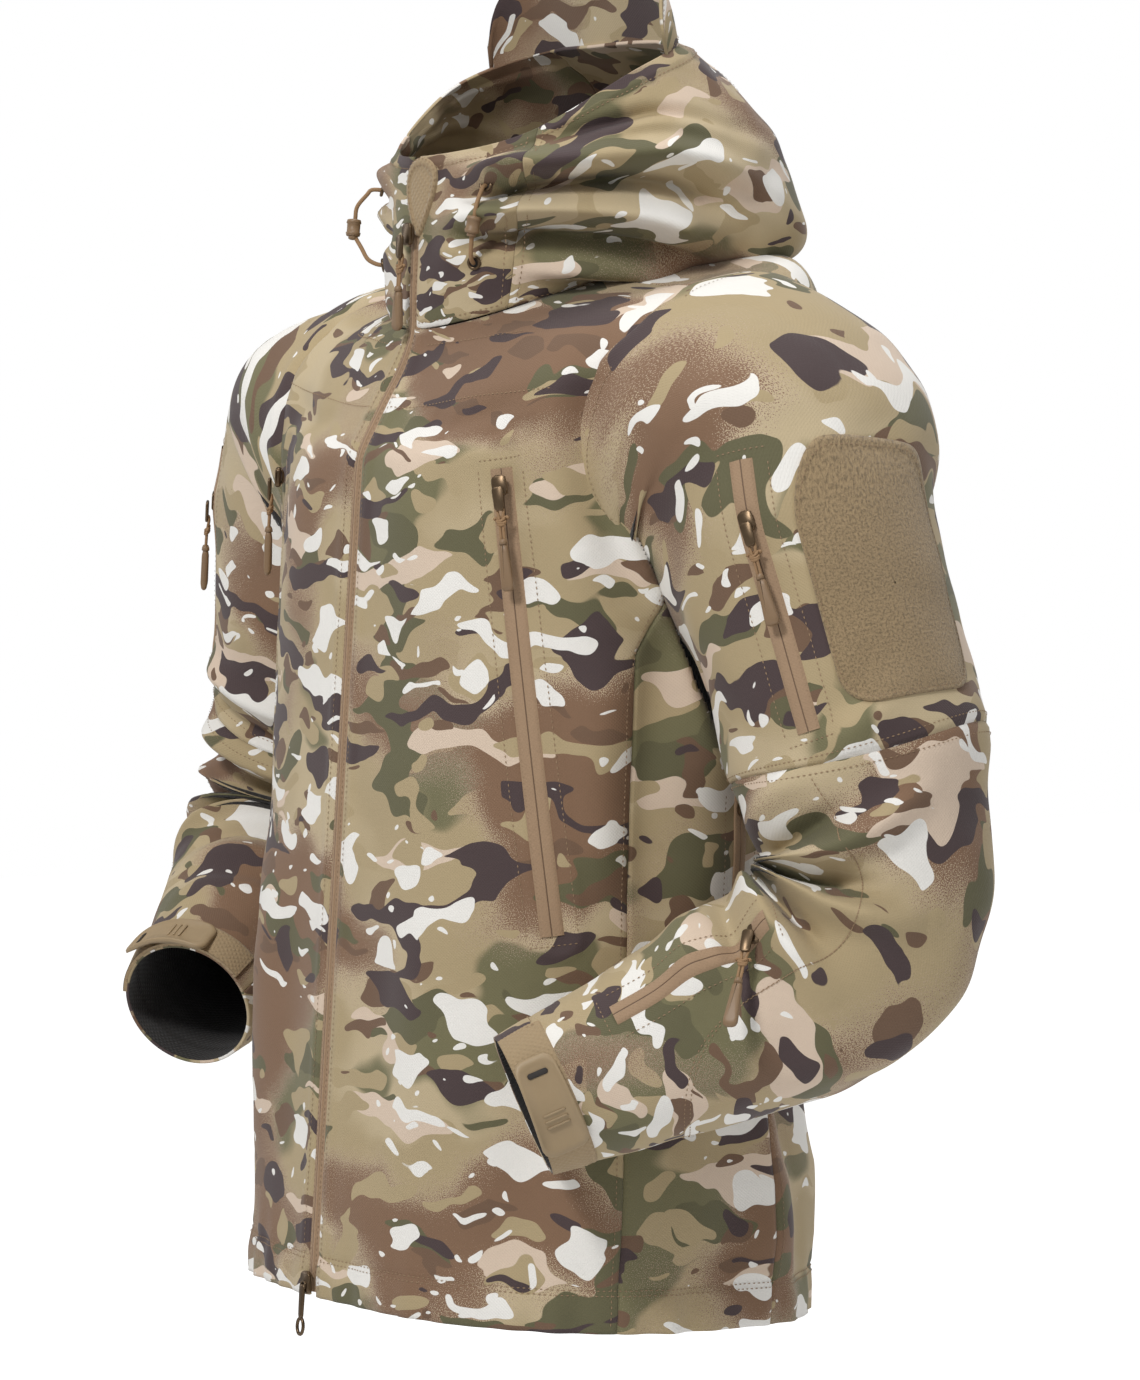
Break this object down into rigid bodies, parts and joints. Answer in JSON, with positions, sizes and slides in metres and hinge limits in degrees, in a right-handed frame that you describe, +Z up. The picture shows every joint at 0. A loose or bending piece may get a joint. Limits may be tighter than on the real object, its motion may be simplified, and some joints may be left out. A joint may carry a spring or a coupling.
{
  "type": "hooded field jacket",
  "caption": "Hooded softshell field jacket in a five-colour camouflage print, worn shape with bent sleeves, zipped pockets, cord pulls and hook-and-loop cuffs.",
  "frame": {"origin": "centre of the neck opening, level with the front of the collar seam", "axes": "+Z up along the wearer's spine, -Y towards the wearer's front, +X towards the wearer's left"},
  "size_m": [0.7551, 0.3522, 0.8797],
  "materials": {
    "camouflage_softshell": "woven softshell, printed in five blended colours, matt",
    "zip_tape": "woven tape",
    "zip_chain": "coil",
    "zip_metal": "aged bronze paint",
    "pull_cord": "braided cord with a moulded end",
    "drawcord": "elastic braided cord",
    "moulded_tab": "soft moulded plastic",
    "loop_pile": "brushed loop pile",
    "webbing": "ribbed webbing",
    "guard_fleece": "ribbed brushed lining"
  },
  "bodies": {
    "jacket": {"front_panel_left": "camouflage_softshell", "side_panel_left": "camouflage_softshell", "back_panel": "camouflage_softshell", "side_panel_right": "camouflage_softshell", "front_panel_right": "camouflage_softshell", "sleeve_upper_left": "camouflage_softshell", "sleeve_elbow_left": "camouflage_softshell", "sleeve_upper_right": "camouflage_softshell", "sleeve_elbow_right": "camouflage_softshell", "collar_left": "camouflage_softshell", "collar_right": "camouflage_softshell", "hood_base": "camouflage_softshell", "main_zip_tape_left": "zip_tape", "main_zip_tape_right": "zip_tape", "main_zip_chain": "zip_chain", "chest_zip_left": "zip_tape", "pit_zip_left": "zip_tape", "arm_zip_left": "zip_tape", "chest_zip_right": "zip_tape", "pit_zip_right": "zip_tape", "arm_zip_right": "zip_tape", "loop_patch_left": "loop_pile", "loop_patch_right": "loop_pile", "chin_guard": "guard_fleece", "hood_cord_left": "drawcord", "hood_toggle_left": "moulded_tab", "hood_cord_right": "drawcord", "hood_toggle_right": "moulded_tab", "hanger_loop": "drawcord", "hem_drawcord": "drawcord"},
    "hood": {"hood_side_left": "camouflage_softshell", "hood_side_right": "camouflage_softshell", "hood_centre": "camouflage_softshell"},
    "visor": {"hood_visor": "camouflage_softshell"},
    "forearm_left": {"sleeve_forearm_left": "camouflage_softshell", "cuff_strap_left": "webbing", "forearm_zip_left": "zip_tape"},
    "cuff_tab_left": {"cuff_tab_left": "moulded_tab"},
    "forearm_right": {"sleeve_forearm_right": "camouflage_softshell", "cuff_strap_right": "webbing"},
    "cuff_tab_right": {"cuff_tab_right": "moulded_tab"},
    "main_lower_slider": {"main_lower_slider": "zip_metal"},
    "main_lower_pull": {"main_lower_pull": "zip_metal"},
    "main_upper_slider": {"main_upper_slider": "zip_metal"},
    "main_upper_pull": {"main_upper_pull": "pull_cord"},
    "chest_zip_left_slider": {"chest_zip_left_slider": "zip_metal"},
    "chest_zip_left_pull": {"chest_zip_left_pull": "pull_cord"},
    "arm_zip_left_slider": {"arm_zip_left_slider": "zip_metal"},
    "arm_zip_left_pull": {"arm_zip_left_pull": "pull_cord"},
    "pit_zip_left_slider": {"pit_zip_left_slider": "zip_metal"},
    "chest_zip_right_slider": {"chest_zip_right_slider": "zip_metal"},
    "chest_zip_right_pull": {"chest_zip_right_pull": "pull_cord"},
    "arm_zip_right_slider": {"arm_zip_right_slider": "zip_metal"},
    "arm_zip_right_pull": {"arm_zip_right_pull": "pull_cord"},
    "pit_zip_right_slider": {"pit_zip_right_slider": "zip_metal"},
    "forearm_zip_left_slider": {"forearm_zip_left_slider": "zip_metal"},
    "forearm_zip_left_pull": {"forearm_zip_left_pull": "pull_cord"}
  },
  "joints": [
    {"name": "hood_tilt", "type": "hinge", "parent": "jacket", "child": "hood", "pos_m": [0, 0.096, 0.06], "axis": [-1, 0, 0], "range_deg": [0, 25], "deforming": ["hood_base"]},
    {"name": "visor_fold", "type": "hinge", "parent": "hood", "child": "visor", "pos_m": [0, 0.0265, 0.1795], "axis": [1, 0, 0], "range_deg": [0, 26]},
    {"name": "elbow_left", "type": "hinge", "parent": "jacket", "child": "forearm_left", "pos_m": [0.312, 0.048, -0.376], "axis": [-0.8596, 0.4858, -0.1582], "range_deg": [-32, 4], "deforming": ["sleeve_elbow_left"]},
    {"name": "cuff_tab_left_peel", "type": "hinge", "parent": "forearm_left", "child": "cuff_tab_left", "pos_m": [0.27049, -0.15764, -0.49251], "axis": [0.3999, 0.8324, 0.3836], "range_deg": [0, 80]},
    {"name": "elbow_right", "type": "hinge", "parent": "jacket", "child": "forearm_right", "pos_m": [-0.328, 0.014, -0.368], "axis": [-0.7464, -0.63, 0.2144], "range_deg": [-32, 4], "deforming": ["sleeve_elbow_right"]},
    {"name": "cuff_tab_right_peel", "type": "hinge", "parent": "forearm_right", "child": "cuff_tab_right", "pos_m": [-0.1873, -0.14943, -0.397], "axis": [-0.5291, 0.7571, 0.3831], "range_deg": [0, 80]},
    {"name": "main_lower_slide", "type": "slide", "parent": "jacket", "child": "main_lower_slider", "axis": [0, 0.0671, 0.9977], "range_m": [0, 0.5]},
    {"name": "main_lower_pull_lift", "type": "hinge", "parent": "main_lower_slider", "child": "main_lower_pull", "pos_m": [0, -0.18542, -0.60842], "axis": [-1, 0, 0], "range_deg": [0, 100]},
    {"name": "main_upper_slide", "type": "slide", "parent": "jacket", "child": "main_upper_slider", "axis": [0, 0.0402, 0.9992], "range_m": [-0.015, 0]},
    {"name": "main_upper_pull_lift", "type": "hinge", "parent": "main_upper_slider", "child": "main_upper_pull", "pos_m": [0, -0.10817, 0.05807], "axis": [-1, 0, 0], "range_deg": [0, 100]},
    {"name": "chest_zip_left_slide", "type": "slide", "parent": "jacket", "child": "chest_zip_left_slider", "axis": [-0.1306, -0.0447, 0.9904], "range_m": [-0.255, 0]},
    {"name": "chest_zip_left_pull_lift", "type": "hinge", "parent": "chest_zip_left_slider", "child": "chest_zip_left_pull", "pos_m": [0.13864, -0.12535, -0.09909], "axis": [-0.7637, -0.6325, -0.1293], "range_deg": [0, 100]},
    {"name": "arm_zip_left_slide", "type": "slide", "parent": "jacket", "child": "arm_zip_left_slider", "axis": [-0.3002, -0.1203, 0.9463], "range_m": [-0.11, 0]},
    {"name": "arm_zip_left_pull_lift", "type": "hinge", "parent": "arm_zip_left_slider", "child": "arm_zip_left_pull", "pos_m": [0.29299, -0.04665, -0.11836], "axis": [-0.7668, -0.5596, -0.3144], "range_deg": [0, 100]},
    {"name": "pit_zip_left_slide", "type": "slide", "parent": "jacket", "child": "pit_zip_left_slider", "axis": [-0.0107, 0.0215, 0.9997], "range_m": [-0.055, 0]},
    {"name": "chest_zip_right_slide", "type": "slide", "parent": "jacket", "child": "chest_zip_right_slider", "axis": [0.1306, -0.0447, 0.9904], "range_m": [-0.255, 0]},
    {"name": "chest_zip_right_pull_lift", "type": "hinge", "parent": "chest_zip_right_slider", "child": "chest_zip_right_pull", "pos_m": [-0.13864, -0.12535, -0.09909], "axis": [-0.7637, 0.6325, 0.1293], "range_deg": [0, 100]},
    {"name": "arm_zip_right_slide", "type": "slide", "parent": "jacket", "child": "arm_zip_right_slider", "axis": [0.3002, -0.1203, 0.9463], "range_m": [-0.11, 0]},
    {"name": "arm_zip_right_pull_lift", "type": "hinge", "parent": "arm_zip_right_slider", "child": "arm_zip_right_pull", "pos_m": [-0.29299, -0.08665, -0.11836], "axis": [-0.7668, 0.5596, 0.3144], "range_deg": [0, 100]},
    {"name": "pit_zip_right_slide", "type": "slide", "parent": "jacket", "child": "pit_zip_right_slider", "axis": [0.0107, 0.0215, 0.9997], "range_m": [-0.055, 0]},
    {"name": "forearm_zip_left_slide", "type": "slide", "parent": "forearm_left", "child": "forearm_zip_left_slider", "axis": [0.4821, 0.7372, 0.4734], "range_m": [-0.085, 0]},
    {"name": "forearm_zip_left_pull_lift", "type": "hinge", "parent": "forearm_zip_left_slider", "child": "forearm_zip_left_pull", "pos_m": [0.32176, -0.06443, -0.36115], "axis": [-0.8059, -0.592, 0], "range_deg": [0, 100]}
  ]
}
